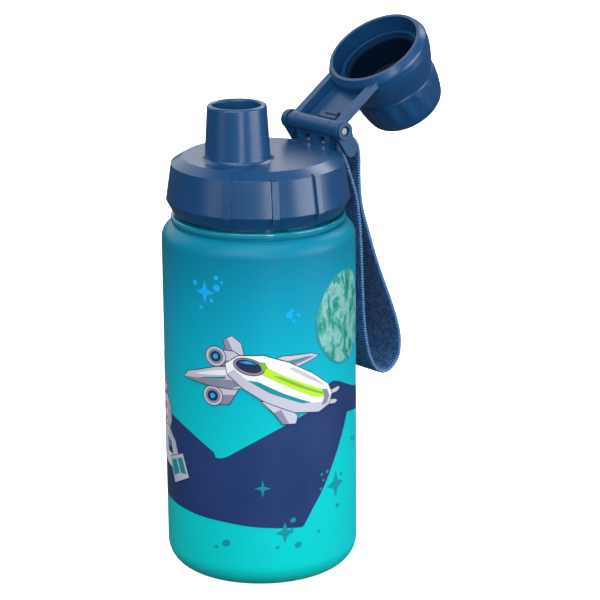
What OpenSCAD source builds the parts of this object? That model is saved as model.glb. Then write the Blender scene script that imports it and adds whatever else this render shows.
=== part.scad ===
// Kids' drinking bottle with a screw lid, a flip cap on a hinge and a webbing wrist strap.
// Frame: origin at the centre of the base, +Z up the bottle, +X from the spout to the cap's hinge.

/* [Bottle] */
// Outer radius of the bottle
body_r = 36; // [33:0.5:38]
// Height of the neck flange's top face
flange_z = 136.3; // [110:0.1:200]
// Wall thickness of the bottle
wall = 1.8; // [1.4:0.1:2.4]
// Radius of the rounded edge round the base
base_round = 9.2; // [7:0.1:11]
// Pitch between turns of the neck's thread
thread_lead = 9; // [8:0.5:10]

/* [Lid] */
// Widest radius of the lid, at the foot of its wall
lid_r = 34; // [34:0.1:35]
// Height of the spout above the lid's flat top
spout_h = 20.3; // [16:0.1:20.4]
// Distance from the bottle's axis to the spout's axis
spout_off = 9.6; // [9:0.1:10.2]
// How far each grip rib stands proud of the lid's wall
rib_proud = 1.1; // [0.5:0.1:1.4]
// Width of each grip rib
rib_w = 2.6; // [2:0.1:4]

/* [Cap] */
// How far the cap is swung open from shut, in degrees
cap_open = 146; // [100:1:148]
// Number of scallops round the knob
knob_flutes = 16; // [12:1:20]

/* [Strap] */
// Width of the webbing
strap_w = 20; // [15:0.5:22]
// Thickness of the webbing
strap_t = 1.5; // [1.1:0.1:1.6]

/* [Hidden] */
$fn = 96;

// Neck and its two-start thread
shoulder_round = 6;
flange_r = 32.4;
flange_edge = 0.6;
flange_t = 1.6;
groove_r = 31;
neck_r = 28;
neck_bore_r = 25.6;
neck_top_z = flange_z + 17.2;
lip_round = 0.8;
thread_proud = 1.1;
thread_starts = 2;
thread_arcs = 6;
thread_arc_deg = 50;
thread_z = flange_z + 4.6;
thread_foot = 1.1;
thread_crest = 0.4;
thread_sink = 0.4;
base_groove_in_r = 11;
base_groove_out_r = 22;
base_groove = 0.9;
base_groove_slope = 1.5;
floor_t = 2.6;

// Lid shell
lid_foot_z = flange_z + 1.2;
lid_wide_z = flange_z + 6;
lid_crease_z = flange_z + 19.4;
lid_flat_z = flange_z + 21.9;
lid_foot_r = lid_r - 2.5;
lid_crease_r = lid_r - 2;
lid_flat_r = lid_r - 6.2;
lid_bore_r = 29.6;
lid_plate = 2.5;
lid_inside_z = lid_flat_z - lid_plate;
rib_angles = [30, 60, 90, -90, -120, -150];
rib_foot = 2.6;
rib_top = 0.9;
gasket_t = 1.8;
gasket_in_r = 25;
gasket_out_r = 28.9;
mating_gap = 0.1;

// Spout
spout_foot_r = 12.05;
spout_top_r = 10.95;
spout_bore_r = 8.8;
spout_fillet = 1.6;
spout_lip = 0.9;
spout_top_z = lid_flat_z + spout_h;

// Hinge
hinge_x = 29.3;
hinge_z = lid_flat_z + 6.5;
pin_r = 1.2;
pin_half = 15.4;
press_gap = 0.02;
run_gap = 0.06;
knuckle_r = 3.3;
lid_knuckle_half = 8.9;
side_gap = 0.3;
arm_in_y = lid_knuckle_half + side_gap;
arm_out_y = 13.1;
ear_in_y = arm_out_y + side_gap;
ear_plate_y = 15;
ear_out_y = 16.2;
ear_r = 3.8;
boss_r = 3.4;
ear_recess_r = 1.9;
ear_recess = 0.9;
post_x = 27.3;
post_d = 3.6;
post_mid = 2.6;
window_w = 5.4;
window_low_z = lid_flat_z + 0.7;
window_h = 2.6;

// Bracket tail and the bar that carries the strap
tail_x = 33.3;
tail_z = hinge_z - 7.9;
tail_r = 2.7;
bar_x = 34.5;
bar_z = hinge_z - 6.9;
bar_r = 1.2;

// Cap, drawn shut over the spout: h counts upwards from the collar's rim
rim_z = lid_flat_z + 2.2;
rim_r = 18.7;
band_r = 20.2;
band_h = 3.2;
collar_side = [[19.9, 6], [19.2, 9], [18.2, 12]];
collar_end_r = 16.9;
collar_h = 15.8;
collar_bore_r = 17.4;
ledge_h = 8.2;
seat_bore_r = 15.5;
ring_low_h = 6;
ring_top_h = ledge_h - 0.2;
ring_bore_r = 14.9;
ring_out_r = 17.1;
skirt_r = 15.4;
cavity_r = 13.5;
seal_h = spout_h - 2.2 + 0.3;
seal_t = 1.8;
knob_side = [[16.3, 16.1], [16.7, 16.7], [16.8, 19.5], [16.3, 24], [15.6, 27.2], [15, 29.2],
             [14.4, 30.3], [13.5, 31.2]];
knob_top_r = 12.1;
knob_top_h = 32;
knob_hollow_r = 10.6;
plate_t = 1.6;
knob_web = 1.8;
flute_r = 9;
flute_cut = 0.4;
flute_lean = 5.5;
flute_start_h = 18.4;
arm_top_h = 1.9;
arm_rail_h = 4.3;
arm_plate_h = 5.8;
arm_low_h = 7;
arm_rail_y = 10.1;
arm_web_y = 9.3;
arm_root_x = 3.5;
arm_end_x = 25.4;
arm_gap_x = 2 * knuckle_r + 3;
arm_gap_h = 20;
detent_x = 20.9;
detent_split_x = 22.4;
detent_end_x = 24.2;
detent_side_y = 5;
detent_tall_y = 1.8;
detent_low_y = 4.4;
detent_tall_h = 4.4;
detent_low_h = 4.9;

// Strap's centre line in the X-Z plane, clockwise from the top of the bar, measured from the bar
strap_route = [
    [0.4, 2.8], [4.1, 2.1], [6.9, -1.2], [7.8, -6.3], [7.8, -11.8], [8, -17.3], [8.4, -21.3],
    [9.3, -26.3], [11.9, -34.3], [15.7, -45.3], [19.9, -55.8], [24.2, -65.8], [27.7, -75.3],
    [29.1, -82.6], [28, -89.4], [23, -93.4], [17.4, -92.1], [13.1, -85.5], [10.8, -75.8],
    [9.8, -65.8], [9.2, -53.8], [8.7, -41.8], [8.1, -32.8], [7.3, -26.3], [6.4, -21.3],
    [4.6, -15.8], [2.3, -9.8], [0.1, -4.6], [-2.2, -0.9], [-1.8, 1.5]];
strap_steps = 5;
stitch_at = [8.1, -23.6];
stitch_h = 4;
stitch_depth = 4.2;
stitch_tilt = 10;
stitch_margin = 1.6;

// Height above the rim, turned into a height in the frame while the cap is shut
function cap_z(h) = rim_z + h;

// Points of an arc from angle a to angle b about c
function arc(c, r, a, b, n = 10) =
    [for (i = [0:n]) let (t = a + (b - a) * i / n) c + r * [cos(t), sin(t)]];

// Point at fraction t between p1 and p2 on a smooth curve through four points
function smooth(p0, p1, p2, p3, t) =
    0.5 * (2 * p1 + (p2 - p0) * t + (2 * p0 - 5 * p1 + 4 * p2 - p3) * t * t
           + (3 * p1 - p0 - 3 * p2 + p3) * t * t * t);

// Closed smooth curve through the points of list p
function loop_curve(p, steps) = [for (i = [0:len(p) - 1]) for (k = [0:steps - 1])
    smooth(p[(i + len(p) - 1) % len(p)], p[i], p[(i + 1) % len(p)], p[(i + 2) % len(p)], k / steps)];

// The same closed curve moved sideways by d, to the left of its direction
function beside(p, d) = [for (i = [0:len(p) - 1])
    let (v = p[(i + 1) % len(p)] - p[(i + len(p) - 1) % len(p)])
    p[i] + d * [-v[1], v[0]] / norm(v)];

// Flat link: two round ends joined by their outer tangents
module link(p, rp, q, rq) {
    v = q - p;
    u = v / norm(v);
    w = [-u[1], u[0]];
    s = (rp - rq) / norm(v);
    c = sqrt(1 - s * s);
    translate(p) circle(rp);
    translate(q) circle(rq);
    polygon([p + rp * (s * u + c * w), q + rq * (s * u + c * w),
             q + rq * (s * u - c * w), p + rp * (s * u - c * w)]);
}

// Puts a shape drawn in the X-Z plane between y0 and y1
module across(y0, y1) {
    translate([0, y1, 0]) rotate([90, 0, 0]) linear_extrude(y1 - y0) children();
}

// Repeats a shape on the other side of the hinge's middle plane
module both_sides() {
    children();
    mirror([0, 1, 0]) children();
}

// Round rod along Y, centred on the hinge's middle plane
module cross_rod(x, z, r, half) {
    translate([x, half, z]) rotate([90, 0, 0]) cylinder(r = r, h = 2 * half);
}

// Broken screw thread: short arcs of a ring on a wall of radius r, each leaning at the lead angle.
// The thread stands outwards with side 1 and inwards with side -1.
module thread(r, side, z0) {
    lean = atan(thread_lead / (2 * PI * r));
    foot_r = r - side * thread_sink;
    crest_r = r + side * thread_proud;
    section = [[foot_r, -thread_foot], [crest_r, -thread_crest],
               [crest_r, thread_crest], [foot_r, thread_foot]];
    for (s = [0:thread_starts - 1]) for (i = [0:thread_arcs - 1])
        rotate([0, 0, s * 360 / thread_starts + i * 360 / thread_arcs])
            translate([0, 0, z0 + thread_lead * i / thread_arcs])
                rotate([lean, 0, 0])
                    rotate([0, 0, -thread_arc_deg / 2])
                        rotate_extrude(angle = thread_arc_deg) polygon(section);
}

// Moves the shut cap to where it hangs open
module swung_open() {
    translate([hinge_x, 0, hinge_z]) rotate([0, cap_open, 0])
        translate([-hinge_x, 0, -hinge_z]) children();
}

// Places a shape turned about the cap's own axis
module on_cap_axis() {
    translate([-spout_off, 0, rim_z]) children();
}

module bottle_body() {
    in_r = body_r - wall;
    in_round = base_round - wall;
    shoulder_z = flange_z - flange_t - 1 - shoulder_round;
    color("darkturquoise") difference() {
        union() {
            rotate_extrude() polygon(concat(
                [[0, 0], [base_groove_in_r, 0], [base_groove_in_r + base_groove_slope, base_groove],
                 [base_groove_out_r - base_groove_slope, base_groove], [base_groove_out_r, 0]],
                arc([body_r - base_round, base_round], base_round, -90, 0),
                arc([body_r - shoulder_round, shoulder_z], shoulder_round, 0, 80),
                [[groove_r, shoulder_z + shoulder_round], [groove_r, flange_z - flange_t],
                 [flange_r, flange_z - flange_t]],
                arc([flange_r - flange_edge, flange_z - flange_edge], flange_edge, 0, 90, 4),
                [[neck_r, flange_z]],
                arc([neck_r - lip_round, neck_top_z - lip_round], lip_round, 0, 90, 4),
                [[0, neck_top_z]]));
            thread(neck_r, 1, thread_z);
        }
        rotate_extrude() polygon(concat(
            [[0, floor_t]],
            arc([in_r - in_round, floor_t + in_round], in_round, -90, 0),
            arc([in_r - shoulder_round, shoulder_z - wall], shoulder_round, 0, 70),
            [[neck_bore_r, flange_z - flange_t], [neck_bore_r, neck_top_z + 1], [0, neck_top_z + 1]]));
    }
}

module screw_lid() {
    color("steelblue") difference() {
        union() {
            rotate_extrude() polygon([[0, lid_foot_z], [lid_foot_r, lid_foot_z], [lid_r, lid_wide_z],
                                      [lid_crease_r, lid_crease_z], [lid_flat_r, lid_flat_z],
                                      [0, lid_flat_z]]);
            for (a = rib_angles) rotate([0, 0, a]) across(-rib_w / 2, rib_w / 2)
                polygon([[lid_flat_r, lid_wide_z], [lid_r, lid_wide_z - rib_foot],
                         [lid_r + rib_proud, lid_wide_z], [lid_crease_r + rib_proud, lid_crease_z],
                         [lid_crease_r - rib_top / 2, lid_crease_z + rib_top],
                         [lid_flat_r, lid_crease_z]]);
            translate([-spout_off, 0, 0]) rotate_extrude() polygon(concat(
                [[0, lid_flat_z - 1], [spout_foot_r + spout_fillet, lid_flat_z - 1],
                 [spout_foot_r + spout_fillet, lid_flat_z]],
                arc([spout_foot_r + spout_fillet, lid_flat_z + spout_fillet], spout_fillet, -90, -180, 6),
                arc([spout_top_r - spout_lip, spout_top_z - spout_lip], spout_lip, 0, 90, 6),
                [[0, spout_top_z]]));
            cross_rod(hinge_x, hinge_z, knuckle_r, lid_knuckle_half);
            translate([post_x, -lid_knuckle_half, lid_crease_z - 2])
                cube([post_d, 2 * lid_knuckle_half, hinge_z - lid_crease_z + 2]);
        }
        difference() {
            translate([0, 0, lid_foot_z - 1]) cylinder(r = lid_bore_r, h = lid_inside_z - lid_foot_z + 1);
            thread(lid_bore_r, -1, thread_z + thread_lead / 4);
        }
        translate([-spout_off, 0, 0]) rotate_extrude() polygon(concat(
            [[0, lid_inside_z - 1], [spout_bore_r, lid_inside_z - 1]],
            arc([spout_bore_r + spout_lip, spout_top_z - spout_lip], spout_lip, 180, 90, 6),
            [[spout_bore_r + spout_lip, spout_top_z + 1], [0, spout_top_z + 1]]));
        cross_rod(hinge_x, hinge_z, pin_r + press_gap, lid_knuckle_half + 1);
        both_sides() translate([post_x - 1, post_mid / 2, window_low_z])
            cube([post_d + 2, window_w, window_h]);
    }
}

module lid_gasket() {
    color("whitesmoke") translate([0, 0, neck_top_z + mating_gap]) difference() {
        cylinder(r = gasket_out_r, h = gasket_t);
        translate([0, 0, -1]) cylinder(r = gasket_in_r, h = gasket_t + 2);
    }
}

module hinge_pin() {
    color("silver") cross_rod(hinge_x, hinge_z, pin_r, pin_half);
}

module strap_bracket() {
    color("steelblue") {
        both_sides() difference() {
            union() {
                across(ear_in_y, ear_plate_y)
                    link([hinge_x, hinge_z], ear_r, [tail_x, tail_z], tail_r);
                across(ear_in_y, ear_out_y) translate([hinge_x, hinge_z]) circle(boss_r);
            }
            cross_rod(hinge_x, hinge_z, pin_r + run_gap, ear_out_y + 1);
            translate([hinge_x, ear_out_y + 1, hinge_z]) rotate([90, 0, 0])
                cylinder(r = ear_recess_r, h = ear_recess + 1);
        }
        cross_rod(bar_x, bar_z, bar_r, ear_in_y + 0.5);
    }
}

module cap_carrier() {
    plate_section = [[0, arm_plate_h], [arm_web_y, arm_plate_h], [arm_rail_y, arm_top_h],
                     [arm_out_y, arm_top_h], [arm_out_y, arm_rail_h], [arm_rail_y + 1, arm_rail_h + 0.4],
                     [arm_web_y + 0.7, arm_low_h], [0, arm_low_h]];
    color("steelblue") swung_open() difference() {
        union() {
            on_cap_axis() rotate_extrude() polygon([[0, 0], [rim_r, 0], [band_r - 0.3, band_h - 1],
                [band_r, band_h], [band_r - 0.2, band_h + 0.3], each collar_side,
                [collar_end_r + 0.3, collar_h - 1], [collar_end_r, collar_h], [0, collar_h]]);
            both_sides() translate([arm_root_x, 0, rim_z]) rotate([90, 0, 90])
                linear_extrude(hinge_x - arm_root_x) polygon(plate_section);
            both_sides() across(arm_in_y, arm_out_y) translate([hinge_x, hinge_z]) circle(knuckle_r);
            translate([detent_x, -detent_side_y, cap_z(detent_tall_h)])
                cube([detent_split_x - detent_x, detent_side_y + detent_tall_y,
                      arm_low_h - detent_tall_h - 0.2]);
            translate([detent_x, -detent_side_y, cap_z(detent_low_h)])
                cube([detent_end_x - detent_x, detent_side_y + detent_low_y,
                      arm_low_h - detent_low_h - 0.2]);
        }
        on_cap_axis() translate([0, 0, -1]) cylinder(r = collar_bore_r, h = ledge_h + 1);
        on_cap_axis() translate([0, 0, -1]) cylinder(r = seat_bore_r, h = collar_h + 2);
        cross_rod(hinge_x, hinge_z, pin_r + run_gap, arm_out_y + 1);
        translate([arm_end_x, -arm_in_y, hinge_z - arm_gap_h / 2])
            cube([arm_gap_x, 2 * arm_in_y, arm_gap_h]);
    }
}

module cap_knob() {
    color("steelblue") swung_open() on_cap_axis() difference() {
        rotate_extrude() polygon(concat(
            [[0, ring_top_h], [skirt_r, ring_top_h], [skirt_r, knob_side[0][1]]],
            knob_side,
            [[knob_top_r, knob_top_h], [0, knob_top_h]]));
        for (i = [0:knob_flutes - 1]) rotate([0, 0, i * 360 / knob_flutes])
            translate([knob_side[2][0] + flute_r - flute_cut, 0, flute_start_h])
                rotate([0, -flute_lean, 0]) cylinder(r = flute_r, h = knob_top_h);
        translate([0, 0, ring_top_h - 1]) cylinder(r = cavity_r, h = seal_h + seal_t - ring_top_h + 1);
        translate([0, 0, seal_h + seal_t + knob_web])
            cylinder(r = knob_hollow_r, h = knob_top_h);
    }
}

module knob_end_plate() {
    color("steelblue") swung_open() on_cap_axis() translate([0, 0, knob_top_h - plate_t])
        cylinder(r = knob_hollow_r, h = plate_t);
}

module knob_retaining_ring() {
    color("steelblue") swung_open() on_cap_axis() difference() {
        union() {
            translate([0, 0, ring_low_h + 0.6]) cylinder(r = ring_out_r, h = ring_top_h - ring_low_h - 0.6);
            translate([0, 0, ring_low_h]) cylinder(r = ring_bore_r + 0.9, h = 1);
        }
        translate([0, 0, ring_low_h - 1]) cylinder(r = ring_bore_r, h = 2 + ledge_h);
    }
}

module spout_seal() {
    color("whitesmoke") swung_open() on_cap_axis() translate([0, 0, seal_h])
        cylinder(r = cavity_r, h = seal_t);
}

module wrist_strap() {
    line = loop_curve(strap_route, strap_steps);
    color("midnightblue") translate([bar_x, 0, bar_z]) across(-strap_w / 2, strap_w / 2) difference() {
        polygon(beside(line, strap_t / 2));
        polygon(beside(line, -strap_t / 2));
    }
}

module strap_stitching() {
    half = strap_w / 2 - stitch_margin;
    color("lightsteelblue") translate([bar_x, 0, bar_z]) across(-half, half)
        translate(stitch_at) rotate(stitch_tilt) square([stitch_depth, stitch_h], center = true);
}

bottle_body();
screw_lid();
lid_gasket();
hinge_pin();
strap_bracket();
cap_carrier();
cap_knob();
knob_end_plate();
knob_retaining_ring();
spout_seal();
wrist_strap();
strap_stitching();
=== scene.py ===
from bisect import bisect_right
from math import ceil, cos, floor, pi, radians, sin

import bmesh
import bpy
from mathutils import Matrix, Vector


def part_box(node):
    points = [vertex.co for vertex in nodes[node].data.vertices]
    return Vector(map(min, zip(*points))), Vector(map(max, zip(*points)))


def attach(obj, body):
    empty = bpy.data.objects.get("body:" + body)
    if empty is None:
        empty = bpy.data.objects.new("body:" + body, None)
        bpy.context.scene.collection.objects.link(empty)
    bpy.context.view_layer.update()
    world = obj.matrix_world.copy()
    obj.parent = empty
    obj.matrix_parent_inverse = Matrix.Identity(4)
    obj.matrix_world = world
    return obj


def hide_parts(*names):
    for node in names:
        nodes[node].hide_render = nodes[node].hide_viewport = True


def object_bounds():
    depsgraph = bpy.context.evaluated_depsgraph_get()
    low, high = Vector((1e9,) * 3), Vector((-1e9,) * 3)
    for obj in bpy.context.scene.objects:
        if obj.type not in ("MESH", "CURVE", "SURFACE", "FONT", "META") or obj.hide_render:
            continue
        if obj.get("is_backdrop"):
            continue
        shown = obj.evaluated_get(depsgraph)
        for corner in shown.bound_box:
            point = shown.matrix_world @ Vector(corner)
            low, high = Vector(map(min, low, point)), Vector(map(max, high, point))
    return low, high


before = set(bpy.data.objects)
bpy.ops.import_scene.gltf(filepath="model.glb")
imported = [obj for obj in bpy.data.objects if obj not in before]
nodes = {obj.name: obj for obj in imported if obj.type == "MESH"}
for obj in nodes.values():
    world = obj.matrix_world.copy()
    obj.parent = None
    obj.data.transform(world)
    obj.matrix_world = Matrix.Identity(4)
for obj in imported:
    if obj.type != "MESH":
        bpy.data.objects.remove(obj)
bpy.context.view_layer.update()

MM = 0.001
scene = bpy.context.scene
scene.view_settings.view_transform = "Standard"

camera_data = bpy.data.cameras.new("camera")
camera_data.lens = 162.9
camera_data.sensor_width = 36
camera_data.clip_start = 0.05
camera_data.clip_end = 20
camera = bpy.data.objects.new("camera", camera_data)
stand = Matrix.Translation((-0.6357, -0.7368, 0.3899))
heading, tip, lean = radians(-41.68), radians(73.525), radians(-0.52)
camera.matrix_world = (stand @ Matrix.Rotation(heading, 4, "Z") @ Matrix.Rotation(tip, 4, "X")
                       @ Matrix.Rotation(lean, 4, "Z"))
scene.collection.objects.link(camera)
scene.camera = camera


def new_material(name):
    """A new material, its node tree and its principled shader."""
    material = bpy.data.materials.new(name)
    material.use_nodes = True
    return material, material.node_tree, material.node_tree.nodes["Principled BSDF"]


def node(tree, kind, *links, **values):
    """Adds a node; links are (input, socket) pairs and values are the node's own settings."""
    made = tree.nodes.new(kind)
    for key, value in values.items():
        setattr(made, key, value)
    for key, value in links:
        if isinstance(value, bpy.types.NodeSocket):
            tree.links.new(value, made.inputs[key])
        else:
            made.inputs[key].default_value = value
    return made


def mesh_object(name, verts, faces, material=None):
    """A smooth mesh in the scene, from points in metres and faces as lists of indices."""
    mesh = bpy.data.meshes.new(name)
    mesh.from_pydata([tuple(v) for v in verts], [], faces)
    mesh.validate()
    made = bpy.data.objects.new(name, mesh)
    scene.collection.objects.link(made)
    if material:
        mesh.materials.append(material)
    mesh.polygons.foreach_set("use_smooth", [True] * len(mesh.polygons))
    return made


paper, paper_tree, paper_shader = new_material("pale_paper")
paper_grain = node(paper_tree, "ShaderNodeTexNoise", ("Scale", 60.0), ("Detail", 4.0))
paper_tone = node(paper_tree, "ShaderNodeMapRange", ("Value", paper_grain.outputs["Fac"]),
                  ("To Min", 0.90), ("To Max", 0.93))
paper_tree.links.new(paper_tone.outputs[0], paper_shader.inputs["Base Color"])
paper_shader.inputs["Roughness"].default_value = 0.9
paper_shader.inputs["Emission Color"].default_value = (1.0, 1.0, 1.0, 1.0)
paper_shader.inputs["Emission Strength"].default_value = 0.9

cove_r, cove_bend, cove_top = 3.0, 0.6, 4.0
cove_sides, bend_steps, paper_drop = 96, 12, 0.2 * MM
cove_side = [(0.02, 0.0), (0.4, 0.0), (cove_r - cove_bend, 0.0)]
for step in range(1, bend_steps + 1):
    turn = radians(90 * step / bend_steps)
    cove_side.append((cove_r - cove_bend * (1 - sin(turn)), cove_bend * (1 - cos(turn))))
cove_side.append((cove_r, cove_top))
cove_points = [(0, 0, -paper_drop)]
for reach, height in cove_side:
    for k in range(cove_sides):
        turn = 2 * pi * k / cove_sides
        cove_points.append((reach * cos(turn), reach * sin(turn), height - paper_drop))
cove_faces = []
for k in range(cove_sides):
    beside = (k + 1) % cove_sides
    cove_faces.append((0, 1 + k, 1 + beside))
    for i in range(len(cove_side) - 1):
        here, above = 1 + i * cove_sides, 1 + (i + 1) * cove_sides
        cove_faces.append((here + k, above + k, above + beside, here + beside))
cove = mesh_object("paper_cove", cove_points, cove_faces, paper)
cove.visible_glossy = False
cove.visible_diffuse = False
cove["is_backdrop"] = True

world = bpy.data.worlds.new("studio_air")
scene.world = world
world.use_nodes = True
air = world.node_tree.nodes["Background"]
air.inputs["Color"].default_value = (0.93, 0.96, 1.0, 1.0)
air.inputs["Strength"].default_value = 0.1
LAMP_AIM = Vector((0, 0, 0.11))


def soft_box(name, azimuth, height, distance, width, tall, power):
    """A rectangular lamp that faces the bottle, at an azimuth in degrees from the x axis."""
    lamp = bpy.data.lights.new(name, "AREA")
    lamp.shape = "RECTANGLE"
    lamp.size = width
    lamp.size_y = tall
    lamp.energy = power
    made = bpy.data.objects.new(name, lamp)
    spot = Vector((cos(radians(azimuth)), sin(radians(azimuth)), 0)) * distance + Vector((0, 0, height))
    made.location = spot
    made.rotation_euler = (LAMP_AIM - spot).to_track_quat("-Z", "Y").to_euler()
    scene.collection.objects.link(made)


soft_box("key_box", -62, 0.26, 0.9, 0.7, 0.5, 7)
soft_box("front_panel", -150, 0.9, 1.2, 1.2, 1.0, 18)
soft_box("strip_box", -116, 0.21, 0.9, 0.10, 0.4, 2.0)
soft_box("back_panel", 82, 0.95, 1.4, 2.4, 1.4, 13)
soft_box("rim_box", 14, 1.0, 1.1, 0.8, 0.6, 8)
soft_box("side_panel", 172, 0.3, 1.3, 0.5, 0.6, 1.5)
soft_box("top_panel", -115, 1.5, 0.5, 1.0, 1.0, 9)

# --- Bottle ---------------------------------------------------------------------------------------
# Stretch-blown copolyester bottle with a satin outside, coloured from petrol blue at the shoulder
# to turquoise at the foot. The neck, its flange and the broken thread are moulded with it.
BODY_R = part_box("bottle_body")[1].x
FADE_TALL = 150 * MM
NECK_FOOT, NECK_FULL = 133.5 * MM, 134.5 * MM


def calc(tree, operation, a, b=0.0, c=0.0):
    """One arithmetic node; returns its result socket."""
    return node(tree, "ShaderNodeMath", (0, a), (1, b), (2, c), operation=operation).outputs[0]


def place_in(tree):
    """The place of the point being shaded, in metres; returns its socket."""
    return node(tree, "ShaderNodeTexCoord").outputs["Object"]


def satin_skin(tree, shader, place, rough, grain_scale=1400.0, grain_depth=0.05 * MM, mottle=0.06):
    """Fine moulded grain, by place: an uneven gloss and a shallow bump."""
    cloud = node(tree, "ShaderNodeTexNoise", ("Vector", place), ("Scale", grain_scale * 0.02),
                 ("Detail", 5.0), ("Roughness", 0.6))
    gloss = node(tree, "ShaderNodeMapRange", ("Value", cloud.outputs["Fac"]), ("From Min", 0.25),
                 ("From Max", 0.75), ("To Min", rough - mottle), ("To Max", rough + mottle))
    tree.links.new(gloss.outputs[0], shader.inputs["Roughness"])
    grain = node(tree, "ShaderNodeTexNoise", ("Vector", place), ("Scale", grain_scale),
                 ("Detail", 3.0), ("Roughness", 0.55))
    bump = node(tree, "ShaderNodeBump", ("Height", grain.outputs["Fac"]), ("Strength", 0.35),
                ("Distance", grain_depth))
    tree.links.new(bump.outputs["Normal"], shader.inputs["Normal"])
    return cloud.outputs["Fac"], bump


def ramp(tree, factor, stops):
    """A colour ramp through (place, colour) stops; returns its colour socket."""
    made = node(tree, "ShaderNodeValToRGB", ("Fac", factor))
    bands = made.color_ramp
    while len(bands.elements) < len(stops):
        bands.elements.new(0.5)
    for element, (place, colour) in zip(bands.elements, stops):
        element.position = place
        element.color = (*colour, 1.0)
    return made.outputs["Color"]


bottle_plastic, bottle_tree, bottle_shader = new_material("satin_turquoise_plastic")
bottle_place = place_in(bottle_tree)
bottle_split = node(bottle_tree, "ShaderNodeSeparateXYZ", (0, bottle_place))
bottle_height = calc(bottle_tree, "DIVIDE", bottle_split.outputs["Z"], FADE_TALL)
bottle_cloud, _ = satin_skin(bottle_tree, bottle_shader, bottle_place, rough=0.36, grain_depth=0.06 * MM)
uneven = calc(bottle_tree, "MULTIPLY_ADD", bottle_cloud, 0.05, -0.025)
bottle_fade = calc(bottle_tree, "ADD", bottle_height, uneven)
bottle_colour = ramp(bottle_tree, bottle_fade, [
    (0.0, (0.002, 0.50, 0.50)), (0.30, (0.002, 0.52, 0.54)), (0.52, (0.002, 0.40, 0.50)),
    (0.70, (0.002, 0.28, 0.42)), (0.86, (0.002, 0.17, 0.28)), (1.0, (0.002, 0.20, 0.28))])
bottle_tree.links.new(bottle_colour, bottle_shader.inputs["Base Color"])
neck_share = node(bottle_tree, "ShaderNodeMapRange", ("Value", bottle_split.outputs["Z"]),
                  ("From Min", NECK_FOOT), ("From Max", NECK_FULL)).outputs[0]
bottle_rough = bottle_shader.inputs["Roughness"].links[0].from_socket
neck_polish = calc(bottle_tree, "MULTIPLY_ADD", neck_share, -0.6, 1.0)
polished = calc(bottle_tree, "MULTIPLY", bottle_rough, neck_polish)
bottle_tree.links.new(polished, bottle_shader.inputs["Roughness"])
neck_shine = calc(bottle_tree, "MULTIPLY_ADD", neck_share, 0.45, 0.14)
bottle_tree.links.new(neck_shine, bottle_shader.inputs["Specular IOR Level"])


def finish_cad(name, material, sharp=28):
    """Gives a CAD node its material and smooth shading that stops at real edges."""
    piece = nodes[name]
    piece.data.materials.clear()
    piece.data.materials.append(material)
    piece.data.polygons.foreach_set("use_smooth", [True] * len(piece.data.polygons))
    piece.data.set_sharp_from_angle(angle=radians(sharp))


finish_cad("bottle_body", bottle_plastic)

# --- Printed pictures -----------------------------------------------------------------------------
# Screen-printed ink on the bottle's wall: a navy ribbon that runs all the way round, two marbled
# planets, sparks, a small glider and a relay station. Each shape is a closed film of its own, and one
# that is printed over another stands a little higher.
PRINT_FRONT = radians(-138.3)
INK_STEP, INK_LIFT, INK_ROOT = 0.02 * MM, 0.03 * MM, 0.05 * MM
STRIP_MM = 1.4
ROUND_MM = 2 * pi * BODY_R / MM


def wall_point(arc, height, lift):
    """A point on the round wall: arc and height in millimetres, lift in metres off the surface."""
    turn = PRINT_FRONT + arc * MM / BODY_R
    return Vector(((BODY_R + lift) * cos(turn), (BODY_R + lift) * sin(turn), height * MM))


def smooth_point(p0, p1, p2, p3, t):
    """The point at t between p1 and p2 on a smooth curve through four points."""
    return 0.5 * (2 * p1 + (p2 - p0) * t + (2 * p0 - 5 * p1 + 4 * p2 - p3) * t * t
                  + (3 * p1 - p0 - 3 * p2 + p3) * t * t * t)


def smooth_run(points, steps=6):
    """A smooth open curve through the points, which keeps its two ends."""
    known = [Vector(p) for p in points]
    known = [2 * known[0] - known[1]] + known + [2 * known[-1] - known[-2]]
    made = [smooth_point(*known[i:i + 4], k / steps) for i in range(len(known) - 3) for k in range(steps)]
    return [tuple(p) for p in made] + [tuple(known[-2])]


def disc(x, z, wide, tall=None, lean=0.0, sides=28):
    """An ellipse round (x, z), leaning by so many degrees."""
    tall = tall or wide
    made = []
    for k in range(sides):
        a, b = wide * cos(2 * pi * k / sides), tall * sin(2 * pi * k / sides)
        made.append((x + a * cos(radians(lean)) - b * sin(radians(lean)),
                     z + a * sin(radians(lean)) + b * cos(radians(lean))))
    return made


def spark(x, z, tall, wide, waist=0.2):
    """A four-pointed star with hollow sides."""
    tips = [(0, tall), (wide, 0), (0, -tall), (-wide, 0)]
    made = []
    for k, (dx, dz) in enumerate(tips):
        after = tips[(k + 1) % 4]
        made += [(x + dx, z + dz), (x + (dx + after[0]) * waist, z + (dz + after[1]) * waist)]
    return made


def grown(outline, by):
    """The outline moved outwards, for the thin dark line round a printed shape."""
    sharpest = 0.55
    turning = sum(p[0] * q[1] - q[0] * p[1] for p, q in zip(outline, outline[1:] + outline[:1]))
    side = 1 if turning > 0 else -1
    made = []
    for k, here in enumerate(outline):
        before, after = Vector(outline[k - 1]), Vector(outline[(k + 1) % len(outline)])
        into, out = (Vector(here) - before).normalized(), (after - Vector(here)).normalized()
        bend = Vector((into.y + out.y, -into.x - out.x)).normalized() * side
        reach = by / max(sharpest, bend.dot(Vector((into.y, -into.x)) * side))
        made.append((here[0] + bend.x * reach, here[1] + bend.y * reach))
    return made


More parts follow.
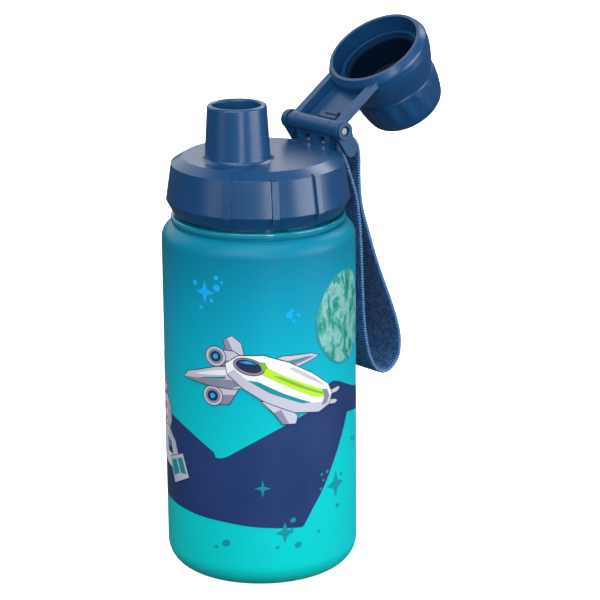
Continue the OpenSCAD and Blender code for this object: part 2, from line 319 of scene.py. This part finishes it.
def ink(name, colour, tone=0.12, rough=0.38):
    """Printing ink: a slightly uneven lay of colour with the screen's fine grain."""
    material, tree, shader = new_material(name)
    cloud, _ = satin_skin(tree, shader, place_in(tree), rough)
    thin = tuple(c * (1 - tone) for c in colour)
    full = tuple(min(1.0, c * (1 + tone)) for c in colour)
    tree.links.new(ramp(tree, cloud, [(0.3, thin), (0.7, full)]), shader.inputs["Base Color"])
    shader.inputs["Specular IOR Level"].default_value = 0.35
    return material


def lay_ink(name, patches):
    """Prints (outline, ink, layer) patches on the wall as one piece of closed thin films."""
    verts, faces, inks, of_face = [], [], [], []
    for outline, colour, layer in patches:
        patch = bmesh.new()
        patch.faces.new([patch.verts.new((x, z, 0)) for x, z in outline])
        first = ceil(min(x for x, z in outline) / STRIP_MM)
        last = floor(max(x for x, z in outline) / STRIP_MM)
        for cut in range(first, last + 1):
            bmesh.ops.bisect_plane(patch, geom=patch.verts[:] + patch.edges[:] + patch.faces[:],
                                   plane_co=(cut * STRIP_MM, 0, 0), plane_no=(1, 0, 0), dist=0.0001)
        bmesh.ops.triangulate(patch, faces=patch.faces[:])
        bmesh.ops.recalc_face_normals(patch, faces=patch.faces[:])
        patch.verts.index_update()
        count, start = len(patch.verts), len(verts)
        lift = INK_LIFT + INK_STEP * layer
        verts += [wall_point(v.co.x, v.co.y, lift) for v in patch.verts]
        verts += [wall_point(v.co.x, v.co.y, -INK_ROOT) for v in patch.verts]
        turned = 1 if patch.faces[:][0].normal.z > 0 else -1
        made = []
        for face in patch.faces:
            ring = [v.index + start for v in face.verts][::turned]
            made += [ring, [k + count for k in ring[::-1]]]
        for rim in patch.edges:
            if len(rim.link_faces) == 1:
                loop = next(l for l in rim.link_faces[0].loops if l.edge == rim)
                a, b = loop.vert.index + start, loop.link_loop_next.vert.index + start
                a, b = (a, b) if turned == 1 else (b, a)
                made.append([b, a, a + count, b + count])
        if colour not in inks:
            inks.append(colour)
        faces += made
        of_face += [inks.index(colour)] * len(made)
        patch.free()
    piece = mesh_object(name, verts, faces)
    for colour in inks:
        piece.data.materials.append(colour)
    piece.data.polygons.foreach_set("material_index", of_face)
    piece.data.set_sharp_from_angle(angle=radians(40))
    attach(piece, "bottle")


navy_ink = ink("navy_ink", (0.012, 0.035, 0.135))
teal_ink = ink("teal_ink", (0.004, 0.23, 0.28))
deep_teal_ink = ink("deep_teal_ink", (0.003, 0.25, 0.30))
sky_ink = ink("sky_ink", (0.003, 0.34, 0.76))
white_ink = ink("white_ink", (0.72, 0.74, 0.78), 0.05)
pale_ink = ink("pale_grey_ink", (0.46, 0.47, 0.56), 0.06)
grey_ink = ink("grey_ink", (0.20, 0.21, 0.30), 0.08)
dark_ink = ink("dark_ink", (0.016, 0.022, 0.060))
lime_ink = ink("lime_ink", (0.40, 0.66, 0.035), 0.06)
leaf_ink = ink("leaf_ink", (0.17, 0.42, 0.03), 0.06)
red_ink = ink("red_ink", (0.62, 0.05, 0.06))

RIBBON_START = -46.2
RIBBON_END = RIBBON_START + ROUND_MM
ribbon_top = (smooth_run([(RIBBON_START, 63.6), (-39, 63), (-32, 61.8), (-25, 59.6), (-19, 56.6),
                          (-13.5, 53.5)])
              + smooth_run([(-12.8, 51.4), (-9, 52), (-2.5, 56), (7, 61.4), (13.7, 64.7), (21, 67.8),
                            (29.6, 70.5)])
              + smooth_run([(30.7, 76.6), (34, 78), (38, 77.2), (46, 73.6), (54, 70.8), (70, 67.5),
                            (100, 67), (140, 66.5), (165, 65), (RIBBON_END, 63.6)]))
ribbon_foot = (smooth_run([(RIBBON_END, 28.5), (160, 30), (130, 36), (100, 46), (75, 55), (56, 60.9),
                           (44.3, 63.4)])
               + smooth_run([(43.6, 62.4), (40, 55.7), (34, 45.3), (28.7, 36.6), (24, 30), (20.5, 24.4)])
               + smooth_run([(19.4, 24.1), (11.7, 24.7), (1.3, 25.5), (-9.4, 26.6), (-20, 27.2),
                             (-30, 27.8), (RIBBON_START, 28.5)]))
lay_ink("print_ribbon", [(ribbon_top + ribbon_foot, navy_ink, 0)])

sparks = [(spark(5, 40.6, 3.5, 3.1), teal_ink, 1),
          (spark(13.1, 22.8, 4.2, 3.6, 0.27), deep_teal_ink, 1),
          (spark(35.9, 37.4, 5.2, 5, 0.27), deep_teal_ink, 1),
          (spark(-16.2, 114.5, 4.5, 3.9, 0.25), sky_ink, 0),
          (spark(96, 104, 5, 4.5), sky_ink, 0),
          (spark(120, 84, 3.6, 3.2), deep_teal_ink, 0),
          (spark(-92, 44, 3.4, 3), teal_ink, 1),
          (spark(-70, 100, 4, 3.6), sky_ink, 0)]
high_dots = [(-11.4, 120.4, 0.9), (-9.2, 118.8, 0.6), (-11.2, 116.6, 1.3), (-20.6, 117.4, 1.0),
             (-13.4, 111.6, 0.8), (-17.9, 108.5, 0.9), (15.7, 106.6, 1.3), (16.6, 108.2, 0.6),
             (19.2, 106.2, 0.6), (17.2, 104.2, 0.7), (18.2, 103.5, 0.4), (92, 99, 0.8), (101, 108, 0.7),
             (-75, 95, 0.7), (-64, 104, 0.8), (-66, 96, 0.5), (112, 80, 0.6)]
low_dots = [(16.3, 27.4, 1.2), (18.2, 17.4, 1.5), (10.3, 17.2, 0.8), (-9.1, 18.4, 1.8), (-13.2, 16.4, 0.8),
            (15.8, 23.8, 0.6), (28.6, 43, 0.7), (31.3, 43.6, 0.8), (29.4, 40.6, 0.6), (39.5, 40.4, 0.8),
            (36.8, 28.6, 1.1), (28.2, 37.4, 0.6), (48.6, 51.8, 1.0), (51.6, 50.6, 1.2), (27, 21, 0.7)]
sparks += [(disc(x, z, size, sides=12), sky_ink, 0) for x, z, size in high_dots]
sparks += [(disc(x, z, size, size * 0.8, 20, sides=8), deep_teal_ink, 1) for x, z, size in low_dots]
lay_ink("print_sparks", sparks)

planet_ink, planet_tree, planet_shader = new_material("marbled_planet_ink")
planet_place = place_in(planet_tree)
satin_skin(planet_tree, planet_shader, planet_place, rough=0.4)
planet_warp = node(planet_tree, "ShaderNodeTexNoise", ("Vector", planet_place), ("Scale", 70.0),
                   ("Detail", 6.0))
planet_swirl = node(planet_tree, "ShaderNodeVectorMath", (0, planet_warp.outputs["Color"]),
                    (1, (0.016, 0.016, 0.010)), operation="MULTIPLY")
planet_moved = node(planet_tree, "ShaderNodeVectorMath", (0, planet_place), (1, planet_swirl.outputs[0]))
planet_long = node(planet_tree, "ShaderNodeMapping", ("Vector", planet_moved.outputs[0]),
                   ("Scale", (1.3, 1.3, 0.4)))
planet_vein = node(planet_tree, "ShaderNodeTexNoise", ("Vector", planet_long.outputs[0]), ("Scale", 260.0),
                   ("Detail", 10.0), ("Roughness", 0.68))
planet_tree.links.new(ramp(planet_tree, planet_vein.outputs["Fac"], [
    (0.34, (0.002, 0.13, 0.11)), (0.44, (0.008, 0.24, 0.18)), (0.50, (0.05, 0.33, 0.30)),
    (0.56, (0.22, 0.46, 0.46)), (0.66, (0.12, 0.36, 0.34))]), planet_shader.inputs["Base Color"])
plain_rim = disc(41.9, 101.2, 15.9, 17.9, sides=48)
plain_planet = disc(42.2, 101.2, 15.0, 17.3, sides=48)
ringed_planet = disc(150, 100, 10, 10.6)
planet_ring = disc(150, 100, 17, 3.4, lean=14, sides=36)
ring_gap = disc(150, 100.3, 14, 2, lean=14, sides=36)
lay_ink("print_planets", [
    (plain_rim, deep_teal_ink, 0), (plain_planet, planet_ink, 1),
    (grown(ringed_planet, 0.5), deep_teal_ink, 0), (ringed_planet, planet_ink, 1),
    (planet_ring, pale_ink, 2), (ring_gap, planet_ink, 3)])


def outlined(shapes, line=0.28):
    """Each shape over a slightly larger dark one, so that it has a thin printed edge."""
    made = []
    for layer, (outline, colour, edged) in enumerate(shapes):
        if edged:
            made.append((grown(outline, line), dark_ink, 1 + layer))
        made.append((outline, colour, 1.5 + layer))
    return made


def thruster(x, z, size):
    """A round engine seen from behind: casing, ring, throat and glow."""
    return [(disc(x, z, size, size * 0.94), pale_ink, True),
            (disc(x, z, size * 0.78, size * 0.74), grey_ink, False),
            (disc(x, z, size * 0.55, size * 0.52), dark_ink, False),
            (disc(x, z, size * 0.26), sky_ink, False)]


glider = [
    ([(-7, 90.5), (-9, 97.4), (-5.6, 99), (-2.2, 96.4), (-1, 91)], pale_ink, True),
    ([(-7, 90.5), (-9, 97.4), (-7.4, 98), (-4, 91)], grey_ink, False),
    ([(7, 89.5), (13, 91.2), (24, 91), (27.4, 89.8), (23, 88.2), (13, 85)], pale_ink, True),
    ([(10, 88.9), (23, 90.2), (25.4, 89.7), (21, 88.5), (13, 86.3)], grey_ink, False),
    ([(12.5, 88.6), (22, 89.9), (23.4, 89.6), (14, 87.9)], teal_ink, False),
    ([(-12, 93.6), (-5, 93.2), (1, 89.6), (-4, 86.6), (-12, 88)], pale_ink, True),
    ([(-12, 88), (-4, 86.6), (-1, 88.4), (-6, 89.6), (-12, 90)], grey_ink, False),
    *thruster(-12, 90.8, 3.9),
    ([(-15, 79), (-7, 81.6), (-3, 79.6), (-7, 73), (-13.6, 72.4)], pale_ink, True),
    ([(-13.6, 72.4), (-7, 73), (-4.6, 76.8), (-9, 76.4)], grey_ink, False),
    *thruster(-13.4, 75.6, 3.9),
    ([(-2, 88), (-12, 86.8), (-24.6, 83), (-26.8, 80.6), (-17, 79.6), (-6, 79), (3, 80)], pale_ink, True),
    ([(-6, 79), (-17, 79.6), (-26.8, 80.6), (-19, 81.6), (-8, 82.4), (1, 82)], grey_ink, False),
    ([(-5, 86.4), (-13, 85.4), (-21.4, 82.9), (-15, 83.4), (-5.6, 84.4)], white_ink, False),
    ([(-8, 83.6), (-17, 82.3), (-18.8, 81.6), (-8.4, 82.6)], teal_ink, False),
    ([(5, 74.4), (9.4, 70), (12.6, 65.4), (17.6, 65.2), (18.2, 68), (14, 73)], pale_ink, True),
    ([(9.4, 70), (12.6, 65.4), (15, 65.4), (12, 71)], grey_ink, False),
    ([(32, 75), (37, 75.6), (38, 74.8), (36.6, 73.9), (31, 73.4)], pale_ink, True),
    ([(30, 72), (35.6, 71), (36.4, 70.2), (35, 69.6), (29, 70.3)], pale_ink, True),
    ([(-8, 88.6), (-3, 91.8), (6, 92), (15, 88.8), (24, 83.6), (31.4, 78), (33.4, 74), (32, 70.2),
      (27, 68.2), (17, 69.6), (6, 74.6), (-2, 79.8), (-7.4, 84.8)], white_ink, True),
    ([(-7.4, 84.8), (-2, 79.8), (6, 74.6), (17, 69.6), (27, 68.2), (32, 70.2), (33.4, 74), (29, 71.6),
      (20, 72.6), (8, 77.6), (0, 82.6), (-5, 86.6)], pale_ink, False),
    ([(0, 82.6), (8, 77.6), (20, 72.6), (24, 72.2), (13, 77.2), (4, 82)], teal_ink, False),
    ([(4.4, 85.2), (14, 80), (24, 74.6), (31, 73), (30.4, 75.8), (22, 79.6), (12, 84.6),
      (7, 87.6)], lime_ink, False),
    ([(9, 84.2), (19, 78.8), (28, 74.8), (29.6, 75), (22, 78.6), (12, 83.8)], leaf_ink, False),
    ([(15, 86.6), (24, 81), (29.8, 77.6), (26, 81.2), (17, 86.8)], pale_ink, False),
    ([(28.6, 76.6), (31, 76), (32, 73.6), (30.6, 70.8), (28.4, 70.4), (29.6, 73.4)], grey_ink, False),
    (disc(0.6, 87.8, 5.6, 2.9, -16), grey_ink, True),
    (disc(0.6, 88, 4.8, 2.3, -16), dark_ink, False),
    ([(-3, 89.6), (0.4, 90), (3.4, 88.8), (0, 88.9)], sky_ink, False),
    ([(5.4, 86.4), (7.4, 87.2), (6.4, 89.4), (4.4, 89.6)], leaf_ink, False)]
lay_ink("print_glider", outlined(glider))

station = [
    ([(-50, 74.6), (-46, 76), (-41.6, 72.4), (-43.6, 68), (-50, 68)], pale_ink, True),
    (disc(-45.4, 70.8, 3.4, 2.8, 20), red_ink, False),
    (disc(-45.4, 71.1, 2.2, 1.7, 20), white_ink, False),
    ([(-52, 68), (-42, 69), (-38.4, 66), (-37.6, 60), (-41, 54), (-52, 55)], white_ink, True),
    ([(-42, 69), (-38.4, 66), (-37.6, 60), (-41, 54), (-43, 56), (-41.4, 61), (-42, 66)], pale_ink, False),
    (disc(-44.4, 64.2, 1.5), red_ink, False),
    (disc(-44, 59.4, 1.1), teal_ink, False),
    ([(-52, 56), (-40, 57), (-34.4, 53), (-30.6, 44), (-35, 41), (-52, 44)], white_ink, True),
    ([(-40, 57), (-34.4, 53), (-30.6, 44), (-33.4, 43), (-37, 51), (-41, 54.6)], pale_ink, False),
    ([(-42, 53), (-38, 51.6), (-36, 47), (-41, 47.4)], dark_ink, False),
    ([(-41, 52), (-38.8, 51.2), (-38, 49.6), (-40.6, 49.8)], sky_ink, False),
    ([(-39, 45.6), (-29, 49.6), (-25.6, 41), (-35, 36.4)], pale_ink, True),
    ([(-37.4, 44.8), (-33.6, 46.3), (-31.4, 41.2), (-35.4, 39.3)], teal_ink, False),
    ([(-32.6, 46.7), (-29.6, 47.9), (-27, 41.9), (-30.5, 41.6)], teal_ink, False)]
STATION_MIDDLE = -51
far_side = [([(2 * STATION_MIDDLE - x, z) for x, z in outline[::-1]], colour, edged)
            for outline, colour, edged in station]
mast = [([(-51.8, 74), (-50.2, 74), (-50.6, 81.6), (-51.4, 81.6)], grey_ink, True),
        (disc(-51, 82, 1.1), red_ink, True),
        ([(-54, 49), (-48, 49), (-48, 52.6), (-54, 52.6)], teal_ink, True)]
lay_ink("print_station", outlined(station) + outlined(far_side) + outlined(mast))

# --- Lid, cap and bracket mouldings ---------------------------------------------------------------
# Injection-moulded polypropylene in deep navy: the screw lid with its spout and middle knuckle, the
# cap's collar with its arm, the fluted knob with its end plate and ring, and the strap's bracket.
# The colour of knob and ring turns nearly black inside the bore, by distance from the cap's axis:
# painted shade of the cavity, not a colour the plastic has.
EDGE_ROUND = 0.25 * MM
BORE_R, BORE_EDGE, BORE_ROOF = 14.2 * MM, 15.2 * MM, -10.1 * MM

lid_plastic, lid_tree, lid_shader = new_material("navy_moulded_plastic")
lid_place = place_in(lid_tree)
lid_cloud, lid_bump = satin_skin(lid_tree, lid_shader, lid_place, rough=0.30, grain_scale=900.0,
                                 mottle=0.05)
edge = node(lid_tree, "ShaderNodeBevel", ("Radius", EDGE_ROUND), samples=6)
lid_tree.links.new(edge.outputs["Normal"], lid_bump.inputs["Normal"])
lid_worn = node(lid_tree, "ShaderNodeTexNoise", ("Vector", lid_place), ("Scale", 260.0), ("Detail", 6.0))
lid_slow = calc(lid_tree, "MULTIPLY", lid_cloud, 0.6)
lid_tone = calc(lid_tree, "MULTIPLY_ADD", lid_worn.outputs["Fac"], 0.4, lid_slow)
lid_colour = ramp(lid_tree, lid_tone, [
    (0.3, (0.004, 0.043, 0.130)), (0.7, (0.006, 0.053, 0.152))])
lid_tree.links.new(lid_colour, lid_shader.inputs["Base Color"])
lid_shader.inputs["Specular IOR Level"].default_value = 0.42
for moulding in ("screw_lid", "strap_bracket", "cap_carrier", "knob_end_plate"):
    finish_cad(moulding, lid_plastic)

# A copy of the lid plastic with painted shade inside the cap's bore.
bore_painted_shade_plastic = lid_plastic.copy()
bore_painted_shade_plastic.name = "navy_plastic_with_painted_bore_shade"
bore_tree = bore_painted_shade_plastic.node_tree
cap_middle = sum(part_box("knob_end_plate"), Vector()) / 2
cap_along = (cap_middle - sum(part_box("spout_seal"), Vector()) / 2).normalized()
bore_from = node(bore_tree, "ShaderNodeVectorMath", (0, place_in(bore_tree)), (1, cap_middle),
                 operation="SUBTRACT").outputs[0]
bore_side = node(bore_tree, "ShaderNodeVectorMath", (0, bore_from), (1, cap_along),
                 operation="CROSS_PRODUCT").outputs[0]
bore_reach = node(bore_tree, "ShaderNodeVectorMath", (0, bore_side), operation="LENGTH").outputs["Value"]
bore_shade_by_reach = node(bore_tree, "ShaderNodeMapRange", ("Value", bore_reach), ("From Min", BORE_R),
                 ("From Max", BORE_EDGE), ("To Min", 0.12), ("To Max", 1.0)).outputs[0]
bore_high = node(bore_tree, "ShaderNodeVectorMath", (0, bore_from), (1, cap_along),
                 operation="DOT_PRODUCT").outputs["Value"]
above_bore = calc(bore_tree, "GREATER_THAN", bore_high, BORE_ROOF)
bore_lit = calc(bore_tree, "MAXIMUM", bore_shade_by_reach, above_bore)
bore_shader = bore_tree.nodes["Principled BSDF"]
outer_colour = bore_shader.inputs["Base Color"].links[0].from_socket
# Near-black inside the bore, fading to the lid's navy at the wall: painted shade, with less reflection
# there too.
bore_shaded_colour = node(bore_tree, "ShaderNodeMix", (0, bore_lit), (6, (0.0006, 0.003, 0.010, 1.0)),
                   (7, outer_colour), data_type="RGBA").outputs[2]
bore_tree.links.new(bore_shaded_colour, bore_shader.inputs["Base Color"])
bore_shaded_gloss = calc(bore_tree, "MULTIPLY_ADD", bore_lit, 0.3, 0.12)
bore_tree.links.new(bore_shaded_gloss, bore_shader.inputs["Specular IOR Level"])
finish_cad("cap_knob", bore_painted_shade_plastic)
finish_cad("knob_retaining_ring", bore_painted_shade_plastic)

# --- Seals ----------------------------------------------------------------------------------------
# A flat gasket of translucent white silicone between neck and lid, and a disc of silicone that
# shuts the spout, near-black as painted shade of the cap's dark cavity. Both are die-cut from sheet,
# with a slightly dusty, rubbery surface.


def silicone(name, thin, full):
    """Silicone sheet, slowly uneven between two colours; returns the material and its shader."""
    material, tree, shader = new_material(name)
    cloud, _ = satin_skin(tree, shader, place_in(tree), rough=0.55, grain_scale=1800.0,
                          grain_depth=0.04 * MM)
    tree.links.new(ramp(tree, cloud, [(0.3, thin), (0.7, full)]), shader.inputs["Base Color"])
    return material, shader


white_silicone, white_shader = silicone("white_silicone", (0.62, 0.66, 0.66), (0.70, 0.73, 0.73))
white_shader.inputs["Subsurface Weight"].default_value = 0.2
white_shader.inputs["Subsurface Scale"].default_value = 2 * MM
finish_cad("lid_gasket", white_silicone)
# The spout seal's near-black colour is painted shade of the cavity round it.
seal_shade_silicone, seal_shade_shader = silicone("seal_shade_silicone", (0.004, 0.008, 0.020), (0.006, 0.012, 0.030))
seal_shade_shader.inputs["Specular IOR Level"].default_value = 0.25
finish_cad("spout_seal", seal_shade_silicone)

# --- Hinge pin ------------------------------------------------------------------------------------
# A cut length of bright stainless rod, pushed through the five knuckles. It is drawn lengthways, so
# fine lines run along it and its cut ends look finely grained.
pin_steel, pin_tree, pin_shader = new_material("drawn_steel")
pin_lines = node(pin_tree, "ShaderNodeMapping", ("Vector", place_in(pin_tree)),
                 ("Scale", (9000.0, 300.0, 9000.0)))
pin_grain = node(pin_tree, "ShaderNodeTexNoise", ("Vector", pin_lines.outputs[0]), ("Scale", 1.0))
pin_tree.links.new(ramp(pin_tree, pin_grain.outputs["Fac"], [
    (0.2, (0.26, 0.26, 0.28)), (0.8, (0.42, 0.42, 0.43))]), pin_shader.inputs["Base Color"])
pin_rough = node(pin_tree, "ShaderNodeMapRange", ("Value", pin_grain.outputs["Fac"]),
                 ("To Min", 0.18), ("To Max", 0.38))
pin_tree.links.new(pin_rough.outputs[0], pin_shader.inputs["Roughness"])
pin_shader.inputs["Metallic"].default_value = 1.0
finish_cad("hinge_pin", pin_steel)

# --- Wrist strap ----------------------------------------------------------------------------------
# Woven polyester webbing, 20 mm wide and 1.5 mm thick, run round the bracket's bar and sewn into one
# loop. Its columns of yarn stand up in rows, and a pale thread flecks both selvedges.
STRAP_W, STRAP_T = 20 * MM, 1.5 * MM
ROUTE_SPLIT, FLAT_STEPS, STRAP_STEPS = 24, 16, 460
WEAVE_RELIEF, WEAVE_PITCH, WEAVE_SQUEEZE = 0.05 * MM, 2.1 * MM, 0.96
YARN_MM, PICK_MM, SELVEDGE_MM = 1.15, 1.25, 0.75
BAR = Vector((34.5, 0, 157.8)) * MM
strap_route = [
    (0.4, 2.8), (4.1, 2.1), (6.9, -1.2), (7.8, -6.3), (7.8, -11.8), (8, -17.3), (8.4, -21.3),
    (9.3, -26.3), (11.9, -34.3), (15.7, -45.3), (19.9, -55.8), (24.2, -65.8), (27.7, -75.3),
    (29.1, -82.6), (28, -89.4), (23, -93.4), (17.4, -92.1), (13.1, -85.5), (10.8, -75.8),
    (9.8, -65.8), (9.2, -53.8), (8.7, -41.8), (8.1, -32.8), (7.3, -26.3), (6.4, -21.3),
    (4.6, -15.8), (2.3, -9.8), (0.1, -4.6), (-2.2, -0.9), (-1.8, 1.5)]
route = [BAR + Vector((x, 0, z)) * MM for x, z in strap_route]
dense = []
for i, here in enumerate(route):
    around = (route[i - 1], here, route[(i + 1) % len(route)], route[(i + 2) % len(route)])
    dense += [smooth_point(*around, k / ROUTE_SPLIT) for k in range(ROUTE_SPLIT)]
run = [0.0]
for i in range(len(dense)):
    run.append(run[-1] + (dense[(i + 1) % len(dense)] - dense[i]).length)
STRAP_LENGTH = run[-1]


def strap_at(distance):
    """Point and outward normal on the strap's centre line, at a distance along it."""
    distance %= STRAP_LENGTH
    low = bisect_right(run, distance) - 1
    share = (distance - run[low]) / (run[low + 1] - run[low])
    place = dense[low].lerp(dense[(low + 1) % len(dense)], share)
    ahead = dense[(low + 2) % len(dense)] - dense[low - 1]
    ahead.normalize()
    return place, Vector((-ahead.z, 0, ahead.x))


half_ring = []
for i in range(FLAT_STEPS + 1):
    across = (i / FLAT_STEPS - 0.5) * (STRAP_W - STRAP_T)
    half_ring.append((across, STRAP_T / 2, 1.0))
for turn in (60, 20, -20, -60):
    half_ring.append((STRAP_W / 2 - STRAP_T / 2 + STRAP_T / 2 * cos(radians(turn)),
                      STRAP_T / 2 * sin(radians(turn)), 0.0))
ring = half_ring + [(-a, -h, relief) for a, h, relief in half_ring]
strap_points, strap_faces, strap_uvs = [], [], []
for i in range(STRAP_STEPS):
    distance = STRAP_LENGTH * i / STRAP_STEPS
    place, outward = strap_at(distance)
    for k, (across, high, relief) in enumerate(ring):
        face = 1 if high > 0 else -1
        wave = WEAVE_RELIEF * relief * sin(2 * pi * distance / WEAVE_PITCH + pi * (k % 2)) * face
        strap_points.append(place + outward * (high * WEAVE_SQUEEZE + wave) + Vector((0, across, 0)))
for i in range(STRAP_STEPS):
    for k in range(len(ring)):
        after, beside = (i + 1) % STRAP_STEPS, (k + 1) % len(ring)
        strap_faces.append((i * len(ring) + k, after * len(ring) + k,
                            after * len(ring) + beside, i * len(ring) + beside))
        for step, column in ((i, k), (i + 1, k), (i + 1, beside), (i, beside)):
            strap_uvs.append((ring[column][0] / MM, STRAP_LENGTH * step / STRAP_STEPS / MM))

webbing, web_tree, web_shader = new_material("navy_webbing")
web_uv = node(web_tree, "ShaderNodeSeparateXYZ", (0, node(web_tree, "ShaderNodeUVMap").outputs[0]))
web_across, web_along = web_uv.outputs["X"], web_uv.outputs["Y"]
yarn = calc(web_tree, "DIVIDE", web_across, YARN_MM)
yarn_column = calc(web_tree, "FLOOR", yarn)
yarn_share = calc(web_tree, "FRACT", yarn)
pick_offset = calc(web_tree, "MULTIPLY", yarn_column, 0.5)
pick = calc(web_tree, "ADD", calc(web_tree, "DIVIDE", web_along, PICK_MM), pick_offset)
pick_share = calc(web_tree, "FRACT", pick)
yarn_crown = calc(web_tree, "SINE", calc(web_tree, "MULTIPLY", yarn_share, pi))
pick_crown = calc(web_tree, "SINE", calc(web_tree, "MULTIPLY", pick_share, pi))
weave = calc(web_tree, "MULTIPLY", yarn_crown, calc(web_tree, "MULTIPLY_ADD", pick_crown, 0.6, 0.4))
web_place = place_in(web_tree)
fuzz = node(web_tree, "ShaderNodeTexNoise", ("Vector", web_place), ("Scale", 900.0), ("Detail", 4.0))
fleck_noise = node(web_tree, "ShaderNodeTexNoise", ("Vector", web_place), ("Scale", 420.0), ("Detail", 2.0))
from_middle = calc(web_tree, "ABSOLUTE", web_across)
edge_near = calc(web_tree, "GREATER_THAN", from_middle, STRAP_W / MM / 2 - SELVEDGE_MM)
edge_step = calc(web_tree, "FRACT", web_along)
edge_dash = calc(web_tree, "GREATER_THAN", edge_step, 0.55)
edge_fleck = calc(web_tree, "MULTIPLY", edge_near, edge_dash)
low_spot = calc(web_tree, "SUBTRACT", 1.0, weave)
pale_spot = calc(web_tree, "MULTIPLY", calc(web_tree, "GREATER_THAN", low_spot, 0.72),
                 calc(web_tree, "GREATER_THAN", fleck_noise.outputs["Fac"], 0.5))
pale = calc(web_tree, "MAXIMUM", calc(web_tree, "MULTIPLY", pale_spot, 0.35),
            calc(web_tree, "MULTIPLY", edge_fleck, 0.55))
# The webbing's colour darkens in the hollows between yarn crowns, by the weave's height: painted shade of
# the weave, under a random fuzzy tone.
web_shade = calc(web_tree, "MULTIPLY_ADD", fuzz.outputs["Fac"], 0.5, calc(web_tree, "MULTIPLY", weave, 0.5))
web_dark = ramp(web_tree, web_shade, [
    (0.3, (0.001, 0.018, 0.070)), (0.7, (0.018, 0.130, 0.350))])
web_mix = node(web_tree, "ShaderNodeMix", (0, pale), (6, web_dark), (7, (0.26, 0.42, 0.62, 1.0)),
               data_type="RGBA")
web_tree.links.new(web_mix.outputs[2], web_shader.inputs["Base Color"])
web_height = calc(web_tree, "MULTIPLY_ADD", fuzz.outputs["Fac"], 0.25, weave)
web_bump = node(web_tree, "ShaderNodeBump", ("Height", web_height), ("Strength", 0.9),
                ("Distance", 0.35 * MM))
web_tree.links.new(web_bump.outputs["Normal"], web_shader.inputs["Normal"])
web_shader.inputs["Roughness"].default_value = 0.85
web_shader.inputs["Specular IOR Level"].default_value = 0.2
web_shader.inputs["Sheen Weight"].default_value = 0.12
web_shader.inputs["Sheen Roughness"].default_value = 0.4

strap = mesh_object("webbing_strap", strap_points, strap_faces, webbing)
strap_layer = strap.data.uv_layers.new(name="weave")
strap_layer.data.foreach_set("uv", [value for pair in strap_uvs for value in pair])
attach(strap, "strap")
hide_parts("wrist_strap")

# --- Bar tack on the strap ------------------------------------------------------------------------
# The loop is closed under the bar by two dense zigzag rows of polyester thread, sewn by machine
# through both layers, so the same stitches show on either face.
thread_material, thread_tree, thread_shader = new_material("navy_thread")
# The thread's colour runs in dark and light bands: painted shade and highlight of its twisted strands.
thread_twist_shade = node(thread_tree, "ShaderNodeTexWave", ("Vector", place_in(thread_tree)), ("Scale", 900.0))
thread_tree.links.new(ramp(thread_tree, thread_twist_shade.outputs["Fac"], [
    (0.2, (0.010, 0.030, 0.075)), (0.8, (0.030, 0.080, 0.170))]), thread_shader.inputs["Base Color"])
thread_shader.inputs["Roughness"].default_value = 0.6
THREAD_R, TACK_Z, TACK_GAP, TACK_ZIG = 0.16 * MM, 134.2 * MM, 2.6 * MM, 0.8 * MM
TACK_MARGIN, TACK_STITCHES, TACK_TRIES = 1.5 * MM, 30, 4000


def thread_tube(points, radius, sides=6):
    """Closed round tube along a list of points: its vertices and faces."""
    verts, faces = [], []
    for i, point in enumerate(points):
        along = (points[min(i + 1, len(points) - 1)] - points[max(i - 1, 0)]).normalized()
        first = along.orthogonal().normalized()
        second = along.cross(first)
        for k in range(sides):
            turn = 2 * pi * k / sides
            verts.append(point + (first * cos(turn) + second * sin(turn)) * radius)
    for i in range(len(points) - 1):
        for k in range(sides):
            beside = (k + 1) % sides
            faces.append((i * sides + k, i * sides + beside, (i + 1) * sides + beside, (i + 1) * sides + k))
    faces.append(tuple(reversed(range(sides))))
    faces.append(tuple(range((len(points) - 1) * sides, len(points) * sides)))
    return verts, faces


tack_points, tack_faces = [], []
tried = [STRAP_LENGTH * i / TACK_TRIES for i in range(TACK_TRIES)]
off_height = [abs(strap_at(d)[0].z - TACK_Z) for d in tried]
outer_run = tried[min(range(TACK_TRIES // 3), key=off_height.__getitem__)]
inner_run = tried[min(range(TACK_TRIES * 2 // 3 + 1, TACK_TRIES), key=off_height.__getitem__)]
for middle in (outer_run, inner_run):
    for row in (-TACK_GAP / 2, TACK_GAP / 2):
        line = []
        for i in range(TACK_STITCHES + 1):
            zig = TACK_ZIG if i % 2 else -TACK_ZIG
            place, outward = strap_at(middle + row + zig / 2)
            side = (i / TACK_STITCHES - 0.5) * (STRAP_W - 2 * TACK_MARGIN)
            line.append(place + outward * (STRAP_T / 2 + THREAD_R * 0.4) + Vector((0, side, 0)))
        verts, faces = thread_tube(line, THREAD_R)
        tack_faces += [tuple(f + len(tack_points) for f in face) for face in faces]
        tack_points += verts
tack = mesh_object("bar_tack", tack_points, tack_faces, thread_material)
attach(tack, "strap")
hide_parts("strap_stitching")

# --- Bounds ---------------------------------------------------------------------------------------
# The box round every shown object but the backdrop.
low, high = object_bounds()
